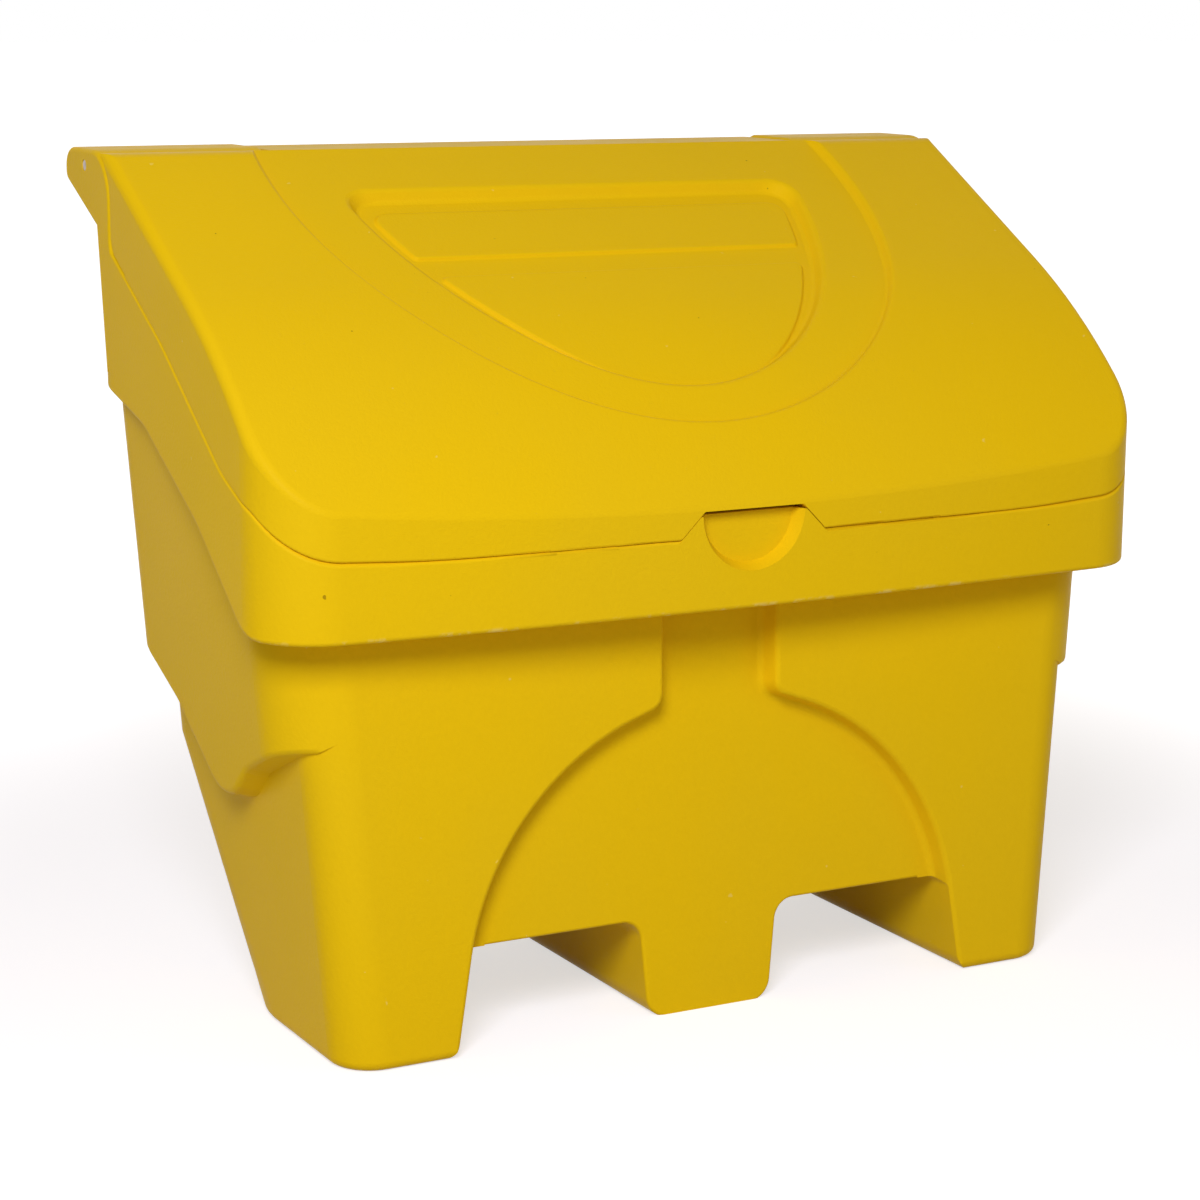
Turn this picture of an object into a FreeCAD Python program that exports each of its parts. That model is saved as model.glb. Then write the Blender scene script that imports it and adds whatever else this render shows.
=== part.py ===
import FreeCAD, Part
import math
import os

# Grit salt bin: one-piece hollow tub, lift-up lid and a steel hinge rod held by two push-on washers.
# Millimetres. X to the right, the front faces -Y, Z up, the feet stand on z = 0.

# Overall outline of the rim and of the lid above it, seen from above
WIDTH = 1000.0
RIM_FRONT = -281.0
RIM_REAR = 206.0
RIM_BOW = 14.0
RIM_FRONT_CORNER = 74.0
RIM_REAR_CORNER = 50.0
RIM_BOW_HALF = WIDTH / 2.0 - RIM_FRONT_CORNER
WALL = 5.0
SLOPE = 1.2

# Side view of the joint between tub and lid, (y, z, radius), front to rear
SEAT = [(-420.0, 504.0, 0.0), (-269.0, 504.0, 8.0), (-212.0, 552.5, 60.0),
        (-144.0, 580.5, 150.0), (9.0, 685.5, 250.0), (121.0, 747.5, 0.0)]
SEAT_END = 420.0
# Side view of the lower edge of the rim
RIM_LOW = [(-420.0, 431.5, 0.0), (-196.0, 431.5, 70.0), (-78.0, 520.0, 120.0),
           (64.0, 597.0, 100.0), (206.0, 632.0, 0.0)]
RIM_LOW_END = 420.0

# Body below the rim
FOOT_HALF = WIDTH / 2.0 - 85.0
SIDE_DRAFT = 0.08
FRONT_AT_FLOOR = RIM_FRONT + 49.0
FRONT_DRAFT = 0.03
BODY_REAR = RIM_REAR - 15.0
BODY_REAR_AT_FLOOR = BODY_REAR - 110.0
REAR_SLANT_TOP = 262.0
BODY_FRONT_CORNER = 45.0
BODY_REAR_CORNER = 58.0
FOOT_REAR_CORNER = 135.0
LOWER_TOP = 460.0
BASE_EDGE = 10.0

# Wider upper part of the body and the sloping V that closes it underneath
BULGE_HALF = WIDTH / 2.0 - 59.8
BULGE_FRONT_CORNER = 76.0
BULGE_REAR_CORNER = 45.0
BULGE_START = 140.0
BULGE_STRAIGHT = 640.0
BULGE_TOP = 900.0
V_PLANE = WIDTH / 2.0 - 38.0
V_SLOPE = 0.3
V_TURN = V_PLANE - 30.0
V_DEPTH = 110.0
V_CORE_TOP = 340.0
V_ROUND = 6.0
V_EDGE = [(420.0, 476.4, 0.0), (77.5, 312.0, 60.0), (-36.0, 228.0, 58.0),
          (-100.0, 281.0, 60.0), (-217.0, 330.5, 0.0), (-420.0, 416.4, 0.0)]

# Keyhole-shaped recess of the front wall
KEY_DEPTH = 23.4
KEY_NECK_HALF = 66.0
KEY_NECK_Z = 328.2
KEY_NECK_ROUND = 18.0
KEY_SHOULDER = (253.9, 259.9, 284.0)
KEY_RUN = 5.0
KEY_FLOOR_EDGE = 8.0
KEY_EDGE = 6.0

# Fork slots through the base
SLOT_CEILING = 102.5
SLOT_OUTER_FLOOR = 297.0
SLOT_OUTER_TOP = 280.0
SLOT_INNER_FLOOR = 70.9
SLOT_INNER_TOP = 81.0
SLOT_INNER_ROUND = 22.0
SLOT_OUTER_ROUND = 11.0
SLOT_EDGE = 3.5
FOOT_ROUND = 25.0
GROUND_DIP = 3.0

# Finger recess, raised tab of the rim and the notch of the lid above it
FINGER_RADIUS = 58.0
FINGER_Z = 527.0
FINGER_DEPTH = 13.0
FINGER_DRAFT = 7.0
NOTCH_HALF_LOW = 83.0
NOTCH_HALF_TOP = 56.0
NOTCH_TOP = 531.0
NOTCH_DEPTH = 21.0
TAB_GAP = 1.2
TAB_TOP = 526.0

# Opening of the tub and the upstand lip round it
RIM_LOW_EDGE = 5.0
RIM_TOP_EDGE = 3.0
OPENING_INSET = 25.0
LIP_THICK = 5.0
LIP_HEIGHT = 10.0

# Hinge
EAR_INNER = WIDTH / 2.0 - 181.4
PIN_Y = RIM_REAR + 15.0
PIN_Z = 845.3
ROD_DIAMETER = 12.0
ROD_END_INSET = 0.5
HOLE_CLEARANCE = 0.05
EAR_FRONT = PIN_Y - 72.0
EAR_TOP = PIN_Z + 16.7
EAR_REAR = PIN_Y + 60.0
EAR_NOSE = 50.0
EAR_UNDER = PIN_Z - 15.3
EAR_UNDER_SLOPE = 0.49
EAR_EDGE = 5.0
EAR_FOOT_Y = EAR_FRONT - 39.0
EAR_FOOT_Z = 739.0
EAR_STEP_Z = 761.0
EAR_SUNK = 39.0
EAR_STEP_ROUND = 24.0
EAR_REAR_TOP_ROUND = 20.0
EAR_REAR_LOW_ROUND = 12.0
EAR_NECK_Y = PIN_Y - 36.0
EAR_HEEL_Y = BODY_REAR - 26.0
EAR_HEEL_Z = EAR_FOOT_Z - 99.0
OPENING_EAR_Y = EAR_FRONT - 25.0
OPENING_EAR_X = EAR_INNER - 20.6

# Lid
LID_GAP = 0.5
LID_BASE = 380.0
LID_TOP_EDGE = 11.0
LID_LOW_EDGE = 2.5
EAR_CLEARANCE = 4.0
TONGUE_SIDE_GAP = 2.6
TONGUE_TOP = PIN_Z + 14.2
TONGUE_REAR = PIN_Y + 55.5
TONGUE_HEEL_Z = PIN_Z + 10.0
TONGUE_UNDER = PIN_Z - 17.3
TONGUE_ROOT = PIN_Y - 26.0
TONGUE_BEND = PIN_Y + 11.0
LID_LINE_Y = 157.0
LID_CROWN = (-209.2, 652.1, 720.0)
LID_FRONT_END = (-341.7, 440.1)
CREST_RADIUS = 30.0

# Recesses of the lid: distances S run up its slope from the line where the slope ends
EDGE_RUN = 0.7
ARC_HALF_X = 343.5
ARC_HALF_S = 431.0
ARC_CENTRE_S = -42.7
ARC_DROP = 9.0
ARC_EDGE = 4.0
DEE_HALF_X = 286.0
DEE_HALF_S = 443.0
DEE_CENTRE_S = 25.9
DEE_TOP_S = -59.7
DEE_CORNER = 34.0
DEE_DEPTH = 13.5
DEE_EDGE = 7.0
DEE_FLOOR_EDGE = 6.0
PAD_RISE = 4.0
PAD_RUN = 0.5
PAD_MARGIN = 8.0
PAD_TOP_S = -93.0
PAD_GROOVE_S = -194.0
PAD_GROOVE_HALF = 14.0
PAD_CORNER = 20.0
PAD_GROOVE_CORNER = 7.0
PAD_EDGE = 2.5

# Push-on washers on the rod
WASHER_DIAMETER = 20.0
WASHER_THICK = 1.2

# Reach of the cutting tools past the bin, and how far their faces stand clear of a wall
FAR = 700.0
SKY = 1200.0
SKIM = 0.04


def vec(x, y, z):
    return FreeCAD.Vector(x, y, z)


def unit(u, v):
    size = math.hypot(u, v)
    return u / size, v / size


def eased_wire(corners, place):
    """Closed wire through flat corners (u, v, radius), each eased by a tangent arc."""
    count = len(corners)
    spans = []
    for i in range(count):
        u, v, radius = corners[i]
        if radius == 0.0:
            spans.append(((u, v), None, (u, v)))
            continue
        pu, pv, _ = corners[i - 1]
        nu, nv, _ = corners[(i + 1) % count]
        au, av = unit(pu - u, pv - v)
        bu, bv = unit(nu - u, nv - v)
        half = math.acos(au * bu + av * bv) / 2.0
        reach = radius / math.tan(half)
        mu, mv = unit(au + bu, av + bv)
        away = radius / math.sin(half) - radius
        spans.append(((u + au * reach, v + av * reach), (u + mu * away, v + mv * away),
                      (u + bu * reach, v + bv * reach)))
    edges = []
    for i in range(count):
        start, middle, end = spans[i]
        following = spans[(i + 1) % count][0]
        if middle is not None:
            edges.append(Part.Arc(place(*start), place(*middle), place(*end)).toShape())
        if math.hypot(following[0] - end[0], following[1] - end[1]) > 1e-6:
            edges.append(Part.LineSegment(place(*end), place(*following)).toShape())
    return Part.Wire(edges)


def prism_x(corners, x0, x1, rise=0.0):
    """Side-view outline (y, z, radius) carried from x0 to x1, climbing by rise for each mm."""
    wire = eased_wire(corners, lambda u, v: vec(x0, u, v))
    return Part.Face(wire).extrude(vec(x1 - x0, 0.0, (x1 - x0) * rise))


def prism_y(corners, y0, y1):
    """Front-view outline (x, z, radius) carried from y0 to y1."""
    wire = eased_wire(corners, lambda u, v: vec(u, y0, v))
    return Part.Face(wire).extrude(vec(0.0, y1 - y0, 0.0))


def prism_z(corners, z0, z1):
    """Plan outline (x, y, radius) carried from z0 to z1."""
    wire = eased_wire(corners, lambda u, v: vec(u, v, z0))
    return Part.Face(wire).extrude(vec(0.0, 0.0, z1 - z0))


def straight_on(path, end):
    """Carry the last straight run of a side-view path on to y = end."""
    (y0, z0, _), (y1, z1, _) = path[-2], path[-1]
    return path + [(end, z1 + (z1 - z0) / (y1 - y0) * (end - y1), 0.0)]


def lifted(path, lift):
    return [(y, z + lift, radius) for y, z, radius in path]


def above(path):
    """Everything over a side-view path that runs from front to rear."""
    return prism_x(path + [(path[-1][0], SKY, 0.0), (path[0][0], SKY, 0.0)], -FAR, FAR)


def seat_path(lift):
    path = SEAT[:-1] + [(SEAT[-1][0], SEAT[-1][1], 0.0)]
    return lifted(straight_on(path, SEAT_END), lift)


def rim_low_path(lift):
    return lifted(straight_on(RIM_LOW, RIM_LOW_END), lift)


def top_path(drop):
    """Side view of the top of the lid, front to rear: crowned front, then a straight slope."""
    crown_y, crown_z, crown_radius = LID_CROWN
    slope = (TONGUE_TOP - crown_z) / (LID_LINE_Y - crown_y)
    return [(LID_FRONT_END[0], LID_FRONT_END[1] - drop, 0.0), (crown_y, crown_z - drop, crown_radius),
            (SEAT_END, crown_z - drop + (SEAT_END - crown_y) * slope, 0.0)]


def on_slope(x, s, h):
    """Point of the lid's straight slope: s up the slope from its upper end, h along its normal."""
    rise, run = unit(TONGUE_TOP - LID_CROWN[1], LID_LINE_Y - LID_CROWN[0])
    return vec(x, LID_LINE_Y + s * run - h * rise, TONGUE_TOP + s * rise + h * run)


def rim_loop(inset, z0, z1):
    """Prism of the rim outline: bowed front, tangent front corners, straight sides and rear."""
    half = WIDTH / 2.0
    bow = (RIM_BOW_HALF ** 2 + RIM_BOW ** 2) / (2.0 * RIM_BOW)
    bow_y = RIM_FRONT + bow
    corner_x = half - RIM_FRONT_CORNER
    corner_y = bow_y - math.sqrt((bow - RIM_FRONT_CORNER) ** 2 - corner_x ** 2)
    ux, uy = unit(corner_x, corner_y - bow_y)
    radius = RIM_FRONT_CORNER - inset
    mx, my = unit(ux + 1.0, uy)
    rear = RIM_REAR - inset
    rear_radius = RIM_REAR_CORNER - inset
    diagonal = rear_radius * math.sqrt(0.5)
    edges = []
    for side in (1.0, -1.0):
        tangent = vec(side * (corner_x + ux * radius), corner_y + uy * radius, z0)
        middle = vec(side * (corner_x + mx * radius), corner_y + my * radius, z0)
        flank = vec(side * (half - inset), corner_y, z0)
        rear_flank = vec(side * (half - inset), rear - rear_radius, z0)
        rear_middle = vec(side * (half - inset - rear_radius + diagonal), rear - rear_radius + diagonal, z0)
        rear_end = vec(side * (half - inset - rear_radius), rear, z0)
        edges.append(Part.Arc(tangent, middle, flank).toShape())
        edges.append(Part.LineSegment(flank, rear_flank).toShape())
        edges.append(Part.Arc(rear_flank, rear_middle, rear_end).toShape())
        if side > 0.0:
            first_tangent = tangent
            first_rear = rear_end
    edges.append(Part.Arc(first_tangent, vec(0.0, RIM_FRONT + inset, z0), tangent).toShape())
    edges.append(Part.LineSegment(first_rear, rear_end).toShape())
    ordered = Part.__sortEdges__(edges)
    return Part.Face(Part.Wire(ordered)).extrude(vec(0.0, 0.0, z1 - z0))


def edges_where(shape, test):
    """Edges between two faces whose outward normals, taken half way along, pass the test."""
    found = []
    for edge in shape.Edges:
        faces = shape.ancestorsOfType(edge, Part.Face)
        if len(faces) != 2:
            continue
        middle = edge.valueAt((edge.FirstParameter + edge.LastParameter) / 2.0)
        normals = [face.normalAt(*face.Surface.parameter(middle)) for face in faces]
        low, high = sorted(normals, key=lambda normal: normal.z)
        if test(middle, low, high):
            found.append(edge)
    return found


def rim_band(inset):
    """The deep band round the mouth of the tub, between its lower edge and the lid."""
    band = rim_loop(inset, 400.0, 900.0).common(above(rim_low_path(inset * SLOPE)))
    band = band.cut(above(seat_path(-inset * SLOPE)))
    if inset > 0.0:
        return band
    under = edges_where(band, lambda middle, low, high: low.z < -0.3 and abs(high.z) < 0.01)
    band = band.makeFillet(RIM_LOW_EDGE, under)
    over = edges_where(band, lambda middle, low, high: high.z > 0.3 and abs(low.z) < 0.01
                       and middle.y < RIM_REAR - RIM_REAR_CORNER)
    return band.makeFillet(RIM_TOP_EDGE, over)


def body_ring(half, rear, front_corner, rear_corner, z, inset):
    front = FRONT_AT_FLOOR + FRONT_DRAFT * z + inset
    side = half - inset
    back = rear - inset
    corners = [(side, front, front_corner - inset), (side, back, rear_corner - inset),
               (-side, back, rear_corner - inset), (-side, front, front_corner - inset)]
    return eased_wire(corners, lambda u, v: vec(u, v, z))


def lower_body(inset):
    """Tapered lower body; its rear leans forward towards the floor."""
    rings = []
    for z in (inset, REAR_SLANT_TOP, LOWER_TOP):
        share = min(1.0, z / REAR_SLANT_TOP)
        rear = BODY_REAR_AT_FLOOR + (BODY_REAR - BODY_REAR_AT_FLOOR) * share
        corner = FOOT_REAR_CORNER + (BODY_REAR_CORNER - FOOT_REAR_CORNER) * share
        rings.append(body_ring(FOOT_HALF + SIDE_DRAFT * z, rear, BODY_FRONT_CORNER, corner, z, inset))
    body = Part.makeLoft(rings, True, True)
    base = [edge for edge in body.Edges if edge.BoundBox.ZMax < inset + 0.5]
    return body.makeFillet(BASE_EDGE - inset, base) if inset < BASE_EDGE - 1.0 else body


def upper_body(inset):
    """Wider upper body, cut to the V along each side."""
    rings = []
    for z in (BULGE_START, BULGE_STRAIGHT, BULGE_TOP):
        level = min(z, BULGE_STRAIGHT)
        ring = body_ring(BULGE_HALF + SIDE_DRAFT * level, BODY_REAR, BULGE_FRONT_CORNER,
                         BULGE_REAR_CORNER, level, inset)
        ring.translate(vec(0.0, 0.0, z - level))
        rings.append(ring)
    body = Part.makeLoft(rings, True, True)
    lift = inset * math.sqrt(1.0 + V_SLOPE ** 2 + 0.5) + (V_TURN - V_PLANE) * V_SLOPE
    side_cut = lifted(V_EDGE + [(-420.0, -200.0, 0.0), (420.0, -200.0, 0.0)], lift)
    inner_x = V_PLANE - V_DEPTH
    raised = lifted(side_cut, (V_TURN - inner_x) * V_SLOPE)
    for side in (1.0, -1.0):
        body = body.cut(prism_x(side_cut, V_TURN * side, (V_TURN + 120.0) * side, V_SLOPE * side))
        body = body.cut(prism_x(raised, inner_x * side, V_TURN * side, -V_SLOPE * side))
    body = body.cut(Part.makeBox(2.0 * inner_x + 2.0, 2.0 * FAR, V_CORE_TOP, vec(-inner_x - 1.0, -FAR, 0.0)))
    if inset > 0.0:
        return body
    under = edges_where(body, lambda middle, low, high: low.z < -0.3 and abs(high.z) < 0.2
                        and abs(middle.x) > BULGE_HALF and middle.z < LOWER_TOP)
    return body.makeFillet(V_ROUND, under)


def grown(corners, grow):
    """Outline moved outward by grow; it runs anticlockwise, and eased corners keep their centres."""
    count = len(corners)
    moved = []
    for i in range(count):
        u, v, radius = corners[i]
        pu, pv, _ = corners[i - 1]
        nu, nv, _ = corners[(i + 1) % count]
        au, av = unit(u - pu, v - pv)
        bu, bv = unit(nu - u, nv - v)
        share = grow / (1.0 + au * bu + av * bv)
        bend = 1.0 if au * bv - av * bu > 0.0 else -1.0
        moved.append((u + (av + bv) * share, v - (au + bu) * share, radius + bend * grow if radius else 0.0))
    return moved


def tapered_solid(first, last):
    """Solid between two polygons whose sides are parallel in pairs."""
    count = len(first)
    faces = [Part.Face(Part.makePolygon(ring + ring[:1])) for ring in (first, last)]
    for i in range(count):
        j = (i + 1) % count
        faces.append(Part.Face(Part.makePolygon([first[i], first[j], last[j], last[i], first[i]])))
    return Part.Solid(Part.makeShell(faces))


def on_front(x, z, depth):
    """Point a given depth behind the leaning front wall."""
    return vec(x, FRONT_AT_FLOOR + FRONT_DRAFT * z + depth, z)


def behind_front(point, depth):
    return abs(on_front(point.x, point.z, depth).y - point.y) < 0.01


def front_plate(x0, x1, z0, z1, depth, thick):
    """Plate along the leaning front wall whose rear face lies at a given depth behind it."""
    corners = [on_front(0.0, z, deep) for z, deep in ((z0, depth), (z1, depth), (z1, depth - thick),
                                                      (z0, depth - thick))]
    return prism_x([(point.y, point.z, 0.0) for point in corners], x0, x1)


def keyhole(inset):
    """Tool for the front recess: neck, shoulders and slot mouths, with sloping walls."""
    low = -30.0
    lean = (SLOT_OUTER_FLOOR - SLOT_OUTER_TOP) / SLOT_CEILING
    shoulder_x, shoulder_z, shoulder_radius = KEY_SHOULDER
    right = [(SLOT_OUTER_FLOOR - lean * low, low, 0.0), (shoulder_x, shoulder_z, 0.0),
             (KEY_NECK_HALF, KEY_NECK_Z, 0.0), (KEY_NECK_HALF, RIM_LOW[0][1] + 20.0, 0.0)]
    outline = right + [(-x, z, 0.0) for x, z, _ in reversed(right)]
    floor = KEY_DEPTH + inset

    def ring(depth):
        return [on_front(x, z, depth) for x, z, _ in grown(outline, inset - KEY_RUN * depth / KEY_DEPTH)]

    tool = tapered_solid(ring(-30.0), ring(floor))
    for height, radius in ((shoulder_z, shoulder_radius + inset), (KEY_NECK_Z, KEY_NECK_ROUND - inset)):
        across = [edge for edge in tool.Edges if edge.BoundBox.YLength > KEY_DEPTH + 20.0
                  and abs(edge.CenterOfMass.z - height - inset) < 12.0]
        tool = tool.makeFillet(radius, across)
    if inset > 0.0:
        return tool

    def at_depth(depth):
        return [edge for edge in tool.Edges if low + 1.0 < edge.CenterOfMass.z < RIM_LOW[0][1] + 15.0
                and abs(edge.CenterOfMass.x) < WIDTH * 0.35
                and all(behind_front(corner.Point, depth) for corner in edge.Vertexes)]

    tool = tool.makeFillet(KEY_FLOOR_EDGE, at_depth(floor))
    top = RIM_LOW[0][1] + 40.0
    tool = tool.fuse(front_plate(-WIDTH * 0.37, WIDTH * 0.37, low - 10.0, top, -SKIM, 60.0))
    return tool.makeFillet(KEY_EDGE, at_depth(-SKIM))


def slot_corners(inset, side):
    """Front view of a fork slot; a larger inset gives the inner face of its skin."""
    corners = [(SLOT_INNER_FLOOR - inset - 45.0, inset - GROUND_DIP, 0.0),
               (SLOT_INNER_FLOOR - inset, inset - GROUND_DIP, FOOT_ROUND - inset),
               (SLOT_INNER_TOP - inset, SLOT_CEILING + inset, SLOT_INNER_ROUND + inset),
               (SLOT_OUTER_TOP + inset, SLOT_CEILING + inset, SLOT_OUTER_ROUND + inset),
               (SLOT_OUTER_FLOOR + inset, inset - GROUND_DIP, FOOT_ROUND - inset),
               (SLOT_OUTER_FLOOR + inset + 45.0, inset - GROUND_DIP, 0.0),
               (SLOT_OUTER_FLOOR + inset + 45.0, -60.0, 0.0),
               (SLOT_INNER_FLOOR - inset - 45.0, -60.0, 0.0)]
    return [(side * x, z, radius) for x, z, radius in corners]


def fork_slots(inset):
    """The two slots; their front edges on the recess are eased."""
    slots = []
    skim = KEY_DEPTH - SKIM
    plate_top = SLOT_CEILING + 4.0 * SLOT_EDGE
    plate_start = SLOT_INNER_FLOOR * 0.3
    plate_end = SLOT_OUTER_TOP - SLOT_OUTER_ROUND - KEY_RUN - KEY_FLOOR_EDGE
    for side in (1.0, -1.0):
        slot = prism_y(slot_corners(inset, side), -400.0, 400.0)
        if inset == 0.0:
            plate = front_plate(side * plate_start, side * plate_end, -50.0, plate_top, skim, 10.0)
            slot = slot.fuse(plate)
            front = [edge for edge in slot.Edges if len(edge.Vertexes) == 2
                     and -20.0 < edge.CenterOfMass.z < plate_top - 2.0
                     and plate_start + 7.0 < abs(edge.CenterOfMass.x) < plate_end - 1.0
                     and all(behind_front(end.Point, skim) for end in edge.Vertexes)]
            slot = slot.makeFillet(SLOT_EDGE, front)
        slots.append(slot)
    return slots


def ear_corners(inset):
    """Side view of a hinge ear (y, z, radius); a negative inset grows it."""
    rear = EAR_REAR - inset
    top = EAR_TOP - inset
    return [(EAR_FOOT_Y + inset, EAR_FOOT_Z - EAR_SUNK, 0.0),
            (EAR_FOOT_Y + inset, EAR_FOOT_Z - inset * SLOPE, 0.0),
            (EAR_FRONT + inset, EAR_STEP_Z - inset * SLOPE, EAR_STEP_ROUND),
            (EAR_FRONT + inset, top, EAR_NOSE - inset),
            (rear, top, max(EAR_REAR_TOP_ROUND - inset, 2.0)),
            (rear, EAR_UNDER + inset, max(EAR_REAR_LOW_ROUND - inset, 2.0)),
            (EAR_NECK_Y, EAR_UNDER + inset - EAR_UNDER_SLOPE * (rear - EAR_NECK_Y), 0.0),
            (EAR_HEEL_Y, EAR_HEEL_Z, 0.0)]


def ear(inset, side):
    """One hinge ear; the outside has eased edges."""
    inner = side * (EAR_INNER + inset)
    outer = side * (WIDTH / 2.0 - inset)
    block = prism_x(ear_corners(inset), inner, outer)
    if inset > 0.0:
        return block
    rims = [edge for edge in block.Edges if edge.BoundBox.XLength < 0.01
            and edge.CenterOfMass.z > EAR_STEP_Z + 4.0]
    return block.makeFillet(EAR_EDGE, rims)


def finger_tool(inset):
    """Scoop in the front of the rim, open at the top."""
    depth = FINGER_DEPTH + inset
    reach = FINGER_RADIUS / 2.0
    radius = FINGER_RADIUS + inset
    spread = FINGER_DRAFT / FINGER_DEPTH
    return Part.makeCone(radius + spread * reach, radius - spread * depth, reach + depth,
                         vec(0.0, RIM_FRONT - reach, FINGER_Z), vec(0.0, 1.0, 0.0))


def notch_corners(grow, top):
    seat_z = SEAT[0][1]
    base_z = seat_z - 24.0
    lean = (NOTCH_HALF_LOW - NOTCH_HALF_TOP) / (NOTCH_TOP - seat_z)
    low = NOTCH_HALF_LOW + grow + (seat_z - base_z) * lean
    high = NOTCH_HALF_LOW + grow - (top - seat_z) * lean
    return [(-low, base_z, 0.0), (low, base_z, 0.0), (high, top, 3.0), (-high, top, 3.0)]


def tub_form(inset):
    """Full outside of the tub for inset 0, the inside of its skin for inset = wall."""
    form = lower_body(inset).fuse(upper_body(inset)).cut(keyhole(inset))
    for slot in fork_slots(inset):
        form = form.cut(slot)
    form = form.cut(above(seat_path(-inset * SLOPE - 8.0))).fuse(rim_band(inset))
    tab = prism_y(notch_corners(-TAB_GAP - inset, TAB_TOP - inset), RIM_FRONT - 20.0,
                  RIM_FRONT + OPENING_INSET + LIP_THICK - inset)
    form = form.fuse(tab.common(rim_loop(inset, 470.0, 560.0)))
    for side in (1.0, -1.0):
        form = form.fuse(ear(inset, side))
    return form.cut(finger_tool(inset))


def opening(extra):
    """Plan of the mouth of the tub; it steps round the ears."""
    mouth = rim_loop(OPENING_INSET + extra, 440.0, 1000.0)
    for side in (1.0, -1.0):
        block = prism_z([(side * (OPENING_EAR_X - extra), OPENING_EAR_Y - extra, 20.0 + extra),
                         (side * FAR, OPENING_EAR_Y - extra, 0.0), (side * FAR, 500.0, 0.0),
                         (side * (OPENING_EAR_X - extra), 500.0, 0.0)], 430.0, 1010.0)
        mouth = mouth.cut(block)
    return mouth


def rod_hole(clearance):
    return Part.makeCylinder(ROD_DIAMETER / 2.0 + clearance, WIDTH + 20.0,
                             vec(-WIDTH / 2.0 - 10.0, PIN_Y, PIN_Z), vec(1.0, 0.0, 0.0))


def make_tub():
    tub = tub_form(0.0).cut(tub_form(WALL))
    mouth = opening(0.0)
    tub = tub.cut(mouth)
    lip = mouth.cut(opening(LIP_THICK))
    lip = lip.common(above(seat_path(-WALL * SLOPE))).cut(above(seat_path(LIP_HEIGHT)))
    tub = tub.fuse(lip)
    return tub.cut(rod_hole(HOLE_CLEARANCE)).removeSplitter()


def lid_blank(inset):
    """The lid as a plain sloping cap with eased edges, run on behind the hinge."""
    half = WIDTH / 2.0 - inset
    run_on = SEAT_END - 20.0
    rear_part = Part.makeBox(2.0 * half, run_on, SKY - LID_BASE, vec(-half, 0.0, LID_BASE))
    prism = rim_loop(inset, LID_BASE, SKY).fuse(rear_part).removeSplitter()
    blank = prism.common(above(seat_path(LID_GAP if inset == 0.0 else -60.0)))
    blank = blank.cut(above(top_path(inset * SLOPE)))
    over = edges_where(blank, lambda middle, low, high: high.z > 0.3 and abs(low.z) < 0.01
                       and middle.y < run_on - 1.0)
    blank = blank.makeFillet(LID_TOP_EDGE - inset, over)
    if inset > 0.0:
        return blank
    under = edges_where(blank, lambda middle, low, high: low.z < -0.3 and abs(high.z) < 0.01
                        and middle.y < EAR_FRONT)
    return blank.makeFillet(LID_LOW_EDGE, under)


def slope_tool(ring):
    """Tool square to the lid's slope, lofted through its outline at two heights."""
    return Part.makeLoft([ring(60.0), ring(-90.0)], True, True)


def arc_ring(grow, h):
    """Ellipse of the large shallow step."""
    half_x = ARC_HALF_X + grow + EDGE_RUN * h
    half_s = ARC_HALF_S + grow + EDGE_RUN * h
    ellipse = Part.Ellipse(on_slope(0.0, ARC_CENTRE_S + half_s, h), on_slope(half_x, ARC_CENTRE_S, h),
                           on_slope(0.0, ARC_CENTRE_S, h))
    return Part.Wire([ellipse.toShape()])


def dee_ring(grow, top_s, h):
    """Lower part of an ellipse closed by a straight line at top_s."""
    half_x = DEE_HALF_X + grow
    half_s = DEE_HALF_S + grow
    meet_x = half_x * math.sqrt(1.0 - ((top_s - DEE_CENTRE_S) / half_s) ** 2)
    right = on_slope(meet_x, top_s, h)
    left = on_slope(-meet_x, top_s, h)
    ellipse = Part.Ellipse(on_slope(0.0, DEE_CENTRE_S + half_s, h), on_slope(half_x, DEE_CENTRE_S, h),
                           on_slope(0.0, DEE_CENTRE_S, h))
    first, last = sorted((ellipse.parameter(right), ellipse.parameter(left)))
    bottom = Part.ArcOfEllipse(ellipse, first, last)
    lowest = on_slope(0.0, DEE_CENTRE_S - half_s, h)
    if bottom.value((first + last) / 2.0).distanceToPoint(lowest) > 1.0:
        bottom = Part.ArcOfEllipse(ellipse, last, first + 2.0 * math.pi)
    return Part.Wire([bottom.toShape(), Part.LineSegment(right, left).toShape()])


def corner_edges(shape):
    """The edges that join the two outlines of a lofted tool."""
    normal = on_slope(0.0, 0.0, 1.0) - on_slope(0.0, 0.0, 0.0)
    found = []
    for edge in shape.Edges:
        span = edge.Vertexes[-1].Point - edge.Vertexes[0].Point
        if len(edge.Vertexes) == 2 and abs(span.dot(normal)) > 3.0:
            found.append(edge)
    return found


def dee_tool(inset):
    """Tool of the D-shaped recess, its two upper corners eased."""
    def ring(h):
        grow = inset + EDGE_RUN * h
        return dee_ring(grow, DEE_TOP_S + grow, h)

    tool = slope_tool(ring)
    tool = tool.makeFillet(DEE_CORNER + inset, corner_edges(tool))
    return tool.common(above(top_path(ARC_DROP + DEE_DEPTH + inset * SLOPE)))


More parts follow.
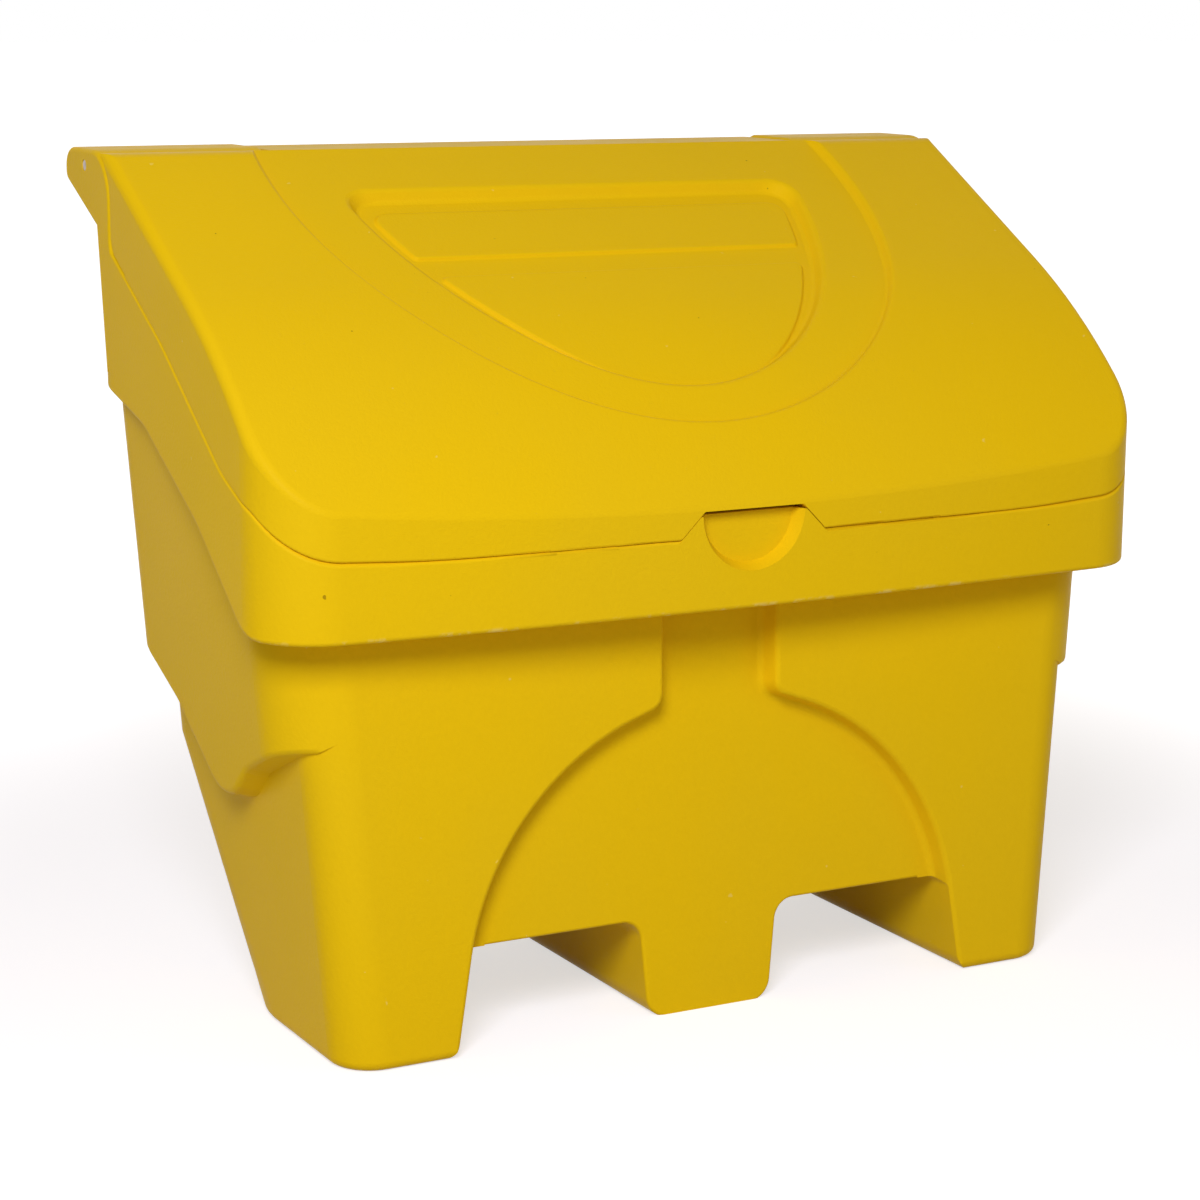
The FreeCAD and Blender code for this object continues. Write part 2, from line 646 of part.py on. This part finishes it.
def slope_edges(shape, drop, reach):
    """Edges between a wall and a face along the slope, at a given drop below the lid's top."""
    normal = on_slope(0.0, 0.0, 1.0) - on_slope(0.0, 0.0, 0.0)
    deeper = above(top_path(drop + 0.5))
    higher = above(top_path(drop - 0.5))
    found = []
    for edge in shape.Edges:
        faces = shape.ancestorsOfType(edge, Part.Face)
        middle = edge.valueAt((edge.FirstParameter + edge.LastParameter) / 2.0)
        if len(faces) != 2 or abs(middle.x) > reach or not RIM_FRONT + 30.0 < middle.y < SEAT_END - 40.0:
            continue
        wall, flat = sorted(abs(face.normalAt(*face.Surface.parameter(middle)).dot(normal)) for face in faces)
        level = deeper.isInside(middle, 0.01, True) and not higher.isInside(middle, 0.01, True)
        if wall < 0.93 and flat > 0.96 and level:
            found.append(edge)
    return found


def raised_pads():
    """Two raised pads on the floor of the D with a groove between them."""
    drop = ARC_DROP + DEE_DEPTH

    def ring(h):
        lean = PAD_RUN * (h + drop)
        return dee_ring(-EDGE_RUN * drop - PAD_MARGIN - lean, PAD_TOP_S - lean, h)

    def groove_corner(side, h):
        point = on_slope(0.0, PAD_GROOVE_S + side * (PAD_GROOVE_HALF + PAD_RUN * (h + drop)), h)
        return point.y, point.z, 0.0

    low = -drop - 20.0
    groove = [groove_corner(side, h) for side, h in ((-1.0, low), (1.0, low), (1.0, 10.0), (-1.0, 10.0))]
    groove_y = on_slope(0.0, PAD_GROOVE_S, -drop).y
    pads = slope_tool(ring)
    pads = pads.makeFillet(PAD_CORNER, corner_edges(pads)).cut(prism_x(groove, -FAR, FAR))
    pads = pads.common(above(top_path(drop + 6.0))).cut(above(top_path(drop - PAD_RISE)))
    eased = []
    for pad in pads.Solids:
        ends = [edge for edge in pad.Edges if edge.Length < 30.0 and edge.BoundBox.ZLength > 2.0
                and abs(edge.CenterOfMass.y - groove_y) < 25.0]
        pad = pad.makeFillet(PAD_GROOVE_CORNER, ends)
        eased.append(pad.makeFillet(PAD_EDGE, slope_edges(pad, drop - PAD_RISE, WIDTH * 0.3)))
    return eased


def lid_recessed(inset):
    """The blank with its arc step, D-shaped recess and pads."""
    arc = slope_tool(lambda h: arc_ring(inset, h)).common(above(top_path(ARC_DROP + inset * SLOPE)))
    shape = lid_blank(inset).cut(arc)
    if inset > 0.0:
        return shape.cut(dee_tool(inset))
    reach = WIDTH * 0.4
    shape = shape.makeFillet(ARC_EDGE, slope_edges(shape, 0.0, reach))
    shape = shape.makeFillet(ARC_EDGE, slope_edges(shape, ARC_DROP, reach))
    shape = shape.cut(dee_tool(inset))
    shape = shape.makeFillet(DEE_EDGE, slope_edges(shape, ARC_DROP, reach))
    drop = ARC_DROP + DEE_DEPTH
    shape = shape.makeFillet(DEE_FLOOR_EDGE, slope_edges(shape, drop, reach))
    shape = shape.fuse(raised_pads())
    return shape.makeFillet(PAD_EDGE, slope_edges(shape, drop, WIDTH * 0.3))


def lid_form(inset):
    """Outside of the lid for inset 0, the hollow under it for inset = wall."""
    plateau = TONGUE_TOP - inset
    form = lid_recessed(inset)
    start = on_slope(0.0, -80.0, -inset)
    crest = [(start.y, start.z + 0.02, 0.0), (LID_LINE_Y + 0.02, plateau, CREST_RADIUS),
             (SEAT_END, plateau, 0.0)]
    form = form.cut(above(crest))
    form = form.cut(Part.makeBox(2.0 * FAR, FAR, FAR, vec(-FAR, RIM_REAR - inset, LID_BASE)))
    tongue_half = EAR_INNER - TONGUE_SIDE_GAP - inset
    notch_y = EAR_FRONT - EAR_CLEARANCE - inset
    block_top = EAR_STEP_Z + 39.0 if inset == 0.0 else SKY
    for side in (1.0, -1.0):
        block = prism_x([(notch_y, LID_BASE, 0.0), (notch_y, block_top, 0.0), (SEAT_END, block_top, 0.0),
                         (SEAT_END, LID_BASE, 0.0)], side * tongue_half, side * FAR)
        form = form.cut(block)
        if inset == 0.0:
            form = form.cut(prism_x(ear_corners(-EAR_CLEARANCE), side * tongue_half, side * FAR))
    if inset == 0.0:
        slab = [(TONGUE_ROOT, TONGUE_UNDER, 0.0), (TONGUE_BEND, TONGUE_UNDER, 10.0),
                (TONGUE_REAR, TONGUE_HEEL_Z, 1.5), (TONGUE_REAR, TONGUE_TOP, 2.0),
                (TONGUE_ROOT, TONGUE_TOP, 0.0)]
    else:
        slab = [(TONGUE_ROOT, TONGUE_UNDER + inset, 0.0), (TONGUE_BEND - 2.0, TONGUE_UNDER + inset, 4.0),
                (TONGUE_BEND + 26.0, plateau, 2.0), (TONGUE_ROOT, plateau, 0.0)]
    form = form.fuse(prism_x(slab, -tongue_half, tongue_half))
    notch = prism_y(notch_corners(inset, NOTCH_TOP + inset), RIM_FRONT - 20.0, RIM_FRONT + NOTCH_DEPTH)
    return form.cut(notch)


def make_lid():
    lid = lid_form(0.0).cut(lid_form(WALL))
    return lid.cut(rod_hole(HOLE_CLEARANCE)).removeSplitter()


def make_rod():
    half = WIDTH / 2.0 - ROD_END_INSET
    rod = Part.makeCylinder(ROD_DIAMETER / 2.0, 2.0 * half, vec(-half, PIN_Y, PIN_Z), vec(1.0, 0.0, 0.0))
    return rod.makeChamfer(0.8, rod.Edges)


def make_washer(side):
    """Shallow push-on washer that grips the rod against the inside of an ear."""
    bore = ROD_DIAMETER / 2.0
    face = side * (EAR_INNER + WALL + 0.2)
    profile = [(face, bore + 2.0), (face + side * 1.0, bore), (face + side * (1.0 + WASHER_THICK), bore),
               (face + side * WASHER_THICK, bore + 3.4), (face + side * WASHER_THICK, WASHER_DIAMETER / 2.0),
               (face, WASHER_DIAMETER / 2.0)]
    points = [vec(x, PIN_Y, PIN_Z + radius) for x, radius in profile]
    wire = Part.makePolygon(points + [points[0]])
    return Part.Face(wire).revolve(vec(0.0, PIN_Y, PIN_Z), vec(1.0, 0.0, 0.0), 360.0)


def save(name, shape):
    if shape.ShapeType == "Compound" and len(shape.Solids) == 1:
        shape = shape.Solids[0]
    shape.exportStep("parts/" + name + ".step")


os.makedirs("parts", exist_ok=True)
save("tub", make_tub())
save("lid", make_lid())
save("hinge_rod", make_rod())
save("washer_left", make_washer(-1.0))
save("washer_right", make_washer(1.0))
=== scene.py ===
# %% [markdown]
# # A grit salt bin in moulded yellow plastic
#
# A grit bin is two hollow mouldings: a tub with three feet and a sloping lid that swings on one steel rod.
# Both are spun in a hot mould until a skin of molten polyethylene covers its inside, so every edge is soft,
# every wall is equally thick and the skin keeps a faint orange-peel grain.
#
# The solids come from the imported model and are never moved. This script gives them their finish, stands
# them on a pale floor and photographs them from the front left.

# %% Load the frame
import math

import bpy
from mathutils import Matrix, Vector

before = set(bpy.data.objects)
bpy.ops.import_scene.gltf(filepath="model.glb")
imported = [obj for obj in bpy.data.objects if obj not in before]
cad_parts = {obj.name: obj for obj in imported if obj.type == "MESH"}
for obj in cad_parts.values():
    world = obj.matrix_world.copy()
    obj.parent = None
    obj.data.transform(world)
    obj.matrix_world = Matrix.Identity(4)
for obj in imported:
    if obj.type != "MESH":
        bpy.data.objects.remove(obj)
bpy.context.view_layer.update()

# %% [markdown]
# ## Writing a finish as arithmetic
#
# A material in Blender is a graph of nodes. It could be drawn by hand, but a graph that is written as plain
# Python sums is easier to read and to change. A `Signal` stands for one output socket of a graph. Adding,
# subtracting or multiplying signals adds the Math nodes that do it.

# %% A socket that understands arithmetic
class Signal:
    """One output socket of a graph; sums on it add Math nodes."""

    def __init__(self, graph, socket):
        self.graph = graph
        self.socket = socket

    def __add__(self, other):
        return self.graph.math("ADD", self, other)

    def __radd__(self, other):
        return self.graph.math("ADD", other, self)

    def __sub__(self, other):
        return self.graph.math("SUBTRACT", self, other)

    def __rsub__(self, other):
        return self.graph.math("SUBTRACT", other, self)

    def __mul__(self, other):
        return self.graph.math("MULTIPLY", self, other)

    def __rmul__(self, other):
        return self.graph.math("MULTIPLY", other, self)

    def between(self, start, end):
        """0 before start, 1 past end and smooth in between; start may be the larger of the two."""
        settings = {"interpolation_type": "SMOOTHSTEP"}
        inputs = {"Value": self, "From Min": start, "From Max": end}
        return self.graph.node("ShaderNodeMapRange", settings, inputs)


# %% [markdown]
# ## One way to add any node
#
# Every node of this scene comes from `Graph.node`: it takes the node's type, its settings, which are set
# first because they can change the sockets, and then a value or a Signal for each socket. The short methods
# under it name the few patterns that the finishes share. Patterns are read in object coordinates, which are
# metres here, so that a grain of three millimetres is three millimetres on every piece.

# %% A graph, and a finish made of one
class Graph:
    """A graph of nodes that is written with Signals."""

    def __init__(self, tree):
        self.tree = tree
        self.tree.nodes.clear()

    def node(self, kind, settings=None, inputs=None, output=0):
        made = self.tree.nodes.new(kind)
        for key, value in (settings or {}).items():
            setattr(made, key, value)
        for key, value in (inputs or {}).items():
            if isinstance(value, Signal):
                self.tree.links.new(value.socket, made.inputs[key])
            else:
                made.inputs[key].default_value = value
        return Signal(self, made.outputs[output])

    def math(self, operation, *values):
        return self.node("ShaderNodeMath", {"operation": operation}, dict(enumerate(values)))

    def place(self):
        """Object coordinates, in metres, as one vector."""
        return self.node("ShaderNodeTexCoord", output="Object")

    def along(self, axis, place):
        """One coordinate of a place, as a number."""
        return self.node("ShaderNodeSeparateXYZ", inputs={"Vector": place}, output=axis)

    def noise(self, place, scale, detail=3.0, roughness=0.5):
        inputs = {"Vector": place, "Scale": scale, "Detail": detail, "Roughness": roughness}
        return self.node("ShaderNodeTexNoise", inputs=inputs, output="Fac")

    def blend(self, mask, low, high):
        """The colour low where the mask is 0 and high where it is 1; 6 and 7 are the colour sockets."""
        return self.node("ShaderNodeMix", {"data_type": "RGBA"}, {0: mask, 6: low, 7: high}, output=2)

    def show(self, shader, kind):
        """Lead a shader to the graph's output node."""
        output = self.tree.nodes.new(kind)
        self.tree.links.new(shader.socket, output.inputs["Surface"])


class Finish(Graph):
    """The graph of a new material."""

    def __init__(self, name):
        self.material = bpy.data.materials.new(name)
        self.material.use_nodes = True
        super().__init__(self.material.node_tree)

    def surface(self, **inputs):
        """The finished material: one shader, with its sockets named as Base_Color for Base Color."""
        named = {key.replace("_", " "): value for key, value in inputs.items()}
        self.show(self.node("ShaderNodeBsdfPrincipled", inputs=named), "ShaderNodeOutputMaterial")
        print("finish:", self.material.name, "with", len(self.tree.nodes), "nodes")
        return self.material


# %% [markdown]
# ## Colours
#
# A colour that is read off a screen is bent towards the dark for the eye, while light adds up in straight
# numbers. `srgb` straightens the three values of a screen colour, so that a finish can be written in the
# numbers that a maker would name it by.

# %% From a screen colour to a colour of light
def srgb(red, green, blue):
    """The linear colour of an 8-bit screen colour."""
    def linear(value):
        share = value / 255.0
        return share / 12.92 if share <= 0.04045 else ((share + 0.055) / 1.055) ** 2.4
    return linear(red), linear(green), linear(blue), 1.0


PIGMENT = srgb(241, 200, 15)
FADED = srgb(237, 198, 24)
WORN = srgb(250, 226, 130)
GRIT = srgb(120, 84, 16)
print("pigment, linear:", [round(value, 3) for value in PIGMENT[:3]])

# %% [markdown]
# ## Marks in the plastic
#
# The pigment is in the plastic, so the colour hardly changes over the surface: it is only a touch paler and
# duller in broad clouds. A bin that has been handled also carries small marks: pale flecks and grains of
# dark grit pressed into the skin. Each kind of mark could be painted on by hand. A noise that is cut at a
# high or a low level gives them all over the bin instead, the same on every side, and takes one line.

# %% Clouds, flecks and grit
# Each row: the scale and the detail of a noise, and the levels where a mark begins and where it is whole.
CLOUDS = (4.0, 3.0, 0.35, 0.7)
FLECKS = (90.0, 2.0, 0.765, 0.785)
GRAINS = (120.0, 1.0, 0.165, 0.15)
CLOUD_SHARE = 0.5
FLECK_SHARE = 0.4
GRAIN_SHARE = 0.6


def marks(finish, place, scale, detail, start, end):
    return finish.noise(place, scale, detail).between(start, end)


print("clouds about", round(1000 / CLOUDS[0]), "mm across")

# %% [markdown]
# ## Wear under the rim
#
# The lower edge of the rim is where the bin is gripped and dragged, and there the skin is scuffed pale. An
# edge mask from the geometry would find every edge of the bin. `rim_wear` finds only this one, with the
# straight runs that shape it: level along the front, then rising to the hinge in three slopes. That line is
# the larger of the level and the smallest of the slopes, and a noise breaks it up as real scuffs are.

# %% Where the rim is worn
RIM_FLOOR = 0.4315
# Each run of the edge: a place along the depth, the height there and the slope.
RIM_RUNS = ((-0.196, RIM_FLOOR, 0.75), (-0.078, 0.520, 0.542), (0.064, 0.597, 0.2465))
WEAR_CORE = 0.002
WEAR_REACH = 0.006
SCUFF_SCALE = 34.0
SCUFF_DETAIL = 5.0
SCUFF_ROUGHNESS = 0.7
SCUFF_LEVELS = (0.52, 0.62)


def rim_wear(finish, place):
    """1 along the lower edge of the rim, broken up as real scuffs are."""
    depth = finish.along("Y", place)
    height = finish.along("Z", place)
    edge = None
    for start_depth, start_height, slope in RIM_RUNS:
        run = (depth - start_depth) * slope + start_height
        edge = run if edge is None else finish.math("MINIMUM", run, edge)
    edge = finish.math("MAXIMUM", edge, RIM_FLOOR)
    near = 1.0 - finish.math("ABSOLUTE", height - edge).between(WEAR_CORE, WEAR_REACH)
    broken = finish.noise(place, SCUFF_SCALE, SCUFF_DETAIL, SCUFF_ROUGHNESS).between(*SCUFF_LEVELS)
    return near * broken


print("the worn line starts", round(1000 * RIM_FLOOR), "mm above the ground")

# %% [markdown]
# ## Yellow moulded polyethylene
#
# The surface is satin, and its grain is a shallow orange peel about three millimetres across with a finer
# tooth on top. It could be cut into the mesh, but it is too fine to be geometry, so it is a bump. The skin
# reflects very little at a flat angle. That is why its sides stay as yellow as its front, and why the
# specular level is set low. Worn and cloudy places are a little duller as well as paler.

# %% The plastic of the tub and the lid
PEEL_SCALE = 300.0
PEEL_DETAIL = 2.0
TOOTH_SCALE = 1100.0
TOOTH_DETAIL = 1.0
TOOTH_SHARE = 0.4
GRAIN_STRENGTH = 0.45
GRAIN_DEPTH = 0.0008
SATIN = 0.34
CLOUD_DULLNESS = 0.05
WEAR_SHARE = 0.55
WEAR_DULLNESS = 0.15
GLOSS = 0.02


def moulded_grain(finish, place):
    peel = finish.noise(place, PEEL_SCALE, PEEL_DETAIL)
    tooth = finish.noise(place, TOOTH_SCALE, TOOTH_DETAIL)
    inputs = {"Strength": GRAIN_STRENGTH, "Distance": GRAIN_DEPTH, "Height": peel + tooth * TOOTH_SHARE}
    return finish.node("ShaderNodeBump", inputs=inputs, output="Normal")


def moulded_plastic(name, wear=None):
    finish = Finish(name)
    place = finish.place()
    clouds = marks(finish, place, *CLOUDS)
    colour = finish.blend(clouds * CLOUD_SHARE, PIGMENT, FADED)
    colour = finish.blend(marks(finish, place, *FLECKS) * FLECK_SHARE, colour, WORN)
    colour = finish.blend(marks(finish, place, *GRAINS) * GRAIN_SHARE, colour, GRIT)
    dullness = clouds * CLOUD_DULLNESS + SATIN
    if wear:
        mask = wear(finish, place)
        colour = finish.blend(mask * WEAR_SHARE, colour, WORN)
        dullness = dullness + mask * WEAR_DULLNESS
    return finish.surface(Base_Color=colour, Roughness=dullness, Normal=moulded_grain(finish, place),
                          Specular_IOR_Level=GLOSS)


tub_yellow = moulded_plastic("tub_polyethylene", rim_wear)
lid_yellow = moulded_plastic("lid_polyethylene")

# %% [markdown]
# ## The rod and its washers
#
# The rod is galvanised: dull zinc with a soft spangle a few millimetres across, which is seen only at its
# end, flush in the outer face of an ear. The two washers in the ears are smoother spring steel. Both are
# the same finish in other numbers, so one function makes both.

# %% The metals
SPANGLE_SCALE = 160.0
SPANGLE_LEVELS = (0.3, 0.7)
SPANGLE_DULLNESS = 0.2
SPANGLE_SHADE = 0.7


def metal(name, colour, dullness):
    finish = Finish(name)
    spangle = finish.noise(finish.place(), SPANGLE_SCALE)
    shaded = tuple(SPANGLE_SHADE * value for value in colour[:3]) + (1.0,)
    shade = finish.blend(spangle.between(*SPANGLE_LEVELS), colour, shaded)
    return finish.surface(Base_Color=shade, Metallic=1.0, Roughness=spangle * SPANGLE_DULLNESS + dullness)


zinc = metal("galvanised_steel", srgb(188, 176, 170), 0.35)
spring = metal("spring_steel", srgb(150, 150, 155), 0.25)

# %% [markdown]
# ## Dressing the pieces
#
# The moulded forms are all in the solids: the soft edges, the keyhole recess, the arc and the D on the lid.
# So no piece is built anew here. Each node of the model keeps its mesh and its place and gets its finish.

# %% Each node and its finish
finishes = {"tub": tub_yellow, "lid": lid_yellow, "hinge_rod": zinc,
            "washer_left": spring, "washer_right": spring}
for node, material in finishes.items():
    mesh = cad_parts[node].data
    mesh.materials.clear()
    mesh.materials.append(material)
    print(node, "is dressed in", material.name)

# %% [markdown]
# ## What is looked at, and what lights
#
# The background of the picture is pure white, but a floor and a sky as bright as that would wash out the
# bin's shaded side. So the two are told apart by the kind of ray that meets them. A ray from the camera, or
# one that is thrown on by metal or glass, only looks at the background and finds it white. Every other ray
# carries its light to the bin and finds it dimmer.

# %% Telling the rays apart
LOOKING = ("Is Camera Ray", "Is Glossy Ray", "Is Transmission Ray")


def looked_at(graph):
    """1 for a ray that only looks, 0 for one that lights."""
    seen = 0.0
    for kind in LOOKING:
        seen = graph.math("MAXIMUM", graph.node("ShaderNodeLightPath", output=kind), seen)
    return seen


print("rays that see the background white:", ", ".join(LOOKING))

# %% [markdown]
# ## The floor
#
# The floor is one flat sheet of pale paper, large enough to reach past the edges of the picture. Near the
# bin part of its white is its own, and the rest is lamplight, so that the bin's shadow stays. Further out
# all of it is its own, and it runs into the sky without a line. The paper is a touch blue, because the sky
# that lights it is warm and would leave it cream.

# %% The floor
FLOOR_HALF = 60.0
PAPER = (0.62, 0.63, 0.76, 1.0)
PAPER_DULLNESS = 0.9
OWN_WHITE = 0.62
SHADOW_ENDS = 0.7
ALL_WHITE = 2.0
BLACK = (0.0, 0.0, 0.0, 1.0)
WHITE = (1.0, 1.0, 1.0, 1.0)


def floor_finish():
    finish = Finish("floor_paper")
    away = finish.node("ShaderNodeVectorMath", {"operation": "LENGTH"}, {0: finish.place()}, output="Value")
    own = away.between(SHADOW_ENDS, ALL_WHITE) * (1.0 - OWN_WHITE) + OWN_WHITE
    glow = finish.blend(looked_at(finish) * own, BLACK, WHITE)
    return finish.surface(Base_Color=PAPER, Roughness=PAPER_DULLNESS, Emission_Color=glow,
                          Emission_Strength=1.0, Specular_IOR_Level=0.0)


floor_mesh = bpy.data.meshes.new("floor")
corners = [(-FLOOR_HALF, -FLOOR_HALF, 0.0), (FLOOR_HALF, -FLOOR_HALF, 0.0),
           (FLOOR_HALF, FLOOR_HALF, 0.0), (-FLOOR_HALF, FLOOR_HALF, 0.0)]
floor_mesh.from_pydata(corners, [], [(0, 1, 2, 3)])
floor = bpy.data.objects.new("floor", floor_mesh)
bpy.context.scene.collection.objects.link(floor)
floor_mesh.materials.append(floor_finish())
print("floor:", 2 * FLOOR_HALF, "m across")

# %% [markdown]
# ## The sky
#
# A product studio is a pale room, and its walls send back even light from all sides. Modelling the room
# would add nothing that is seen, so the world takes its part: dim for the rays that light, white for the
# rays that look. Its light is tinted warm, because the shaded sides of the bin are a warmer yellow than its
# lit ones.

# %% The sky
SKY = 0.28
SKY_TINT = (1.0, 0.83, 0.60, 1.0)
world = bpy.data.worlds.new("studio")
bpy.context.scene.world = world
world.use_nodes = True
sky = Graph(world.node_tree)
dim = sky.node("ShaderNodeBackground", inputs={"Color": SKY_TINT, "Strength": SKY})
white = sky.node("ShaderNodeBackground", inputs={"Color": WHITE, "Strength": 1.0})
either = sky.node("ShaderNodeMixShader", inputs={0: looked_at(sky), 1: dim, 2: white})
sky.show(either, "ShaderNodeOutputWorld")
print("sky: strength", SKY, "for the light, 1 for the eye")

# %% [markdown]
# ## The lamps
#
# One large soft lamp stands above the camera and to its left, so the sloping lid is the brightest face and
# the left walls of the recesses fall into soft shade. A weak second lamp from the front right keeps that
# side from going dark.

# %% The lamps
AIM = Vector((0.0, 0.0, 0.4))


def lamp(name, place, width, watts):
    light = bpy.data.lights.new(name, "AREA")
    light.shape = "SQUARE"
    light.size = width
    light.energy = watts
    holder = bpy.data.objects.new(name, light)
    holder.location = place
    holder.rotation_euler = (AIM - Vector(place)).to_track_quat("-Z", "Y").to_euler()
    bpy.context.scene.collection.objects.link(holder)
    print("lamp", name, "of", watts, "W is", round((AIM - Vector(place)).length, 2), "m away")


lamp("key", (-1.85, -2.55, 2.4), 1.2, 80.0)
lamp("fill", (2.6, -2.4, 1.2), 1.6, 7.0)

# %% [markdown]
# ## The camera
#
# A camera can be turned by eye until the picture looks right. Here its place, its three angles and its lens
# were worked out from features of the bin that are symmetric in reality and not in the photograph, such as
# the two ends of the rim. The three angles give three directions, which are the columns of the camera's
# matrix.

# %% The camera
LENS = 89.8
SENSOR = 36.0
CAMERA_PLACE = Vector((-1.5001, -2.7336, 1.0158))
YAW, PITCH, ROLL = (math.radians(angle) for angle in (28.4555, 11.369, 0.4153))
forward = Vector((math.sin(YAW) * math.cos(PITCH), math.cos(YAW) * math.cos(PITCH), -math.sin(PITCH)))
level_right = Vector((math.cos(YAW), -math.sin(YAW), 0.0))
level_up = level_right.cross(forward)
right = math.cos(ROLL) * level_right + math.sin(ROLL) * level_up
up = math.cos(ROLL) * level_up - math.sin(ROLL) * level_right
camera_data = bpy.data.cameras.new("camera")
camera_data.lens = LENS
camera_data.sensor_width = SENSOR
camera = bpy.data.objects.new("camera", camera_data)
turn = Matrix((right, up, -forward)).transposed().to_4x4()
camera.matrix_world = Matrix.Translation(CAMERA_PLACE) @ turn
bpy.context.scene.collection.objects.link(camera)
bpy.context.scene.camera = camera
bpy.context.scene.view_settings.view_transform = "Standard"
print("camera:", round(CAMERA_PLACE.length, 2), "m from the foot of the bin, lens", LENS, "mm")
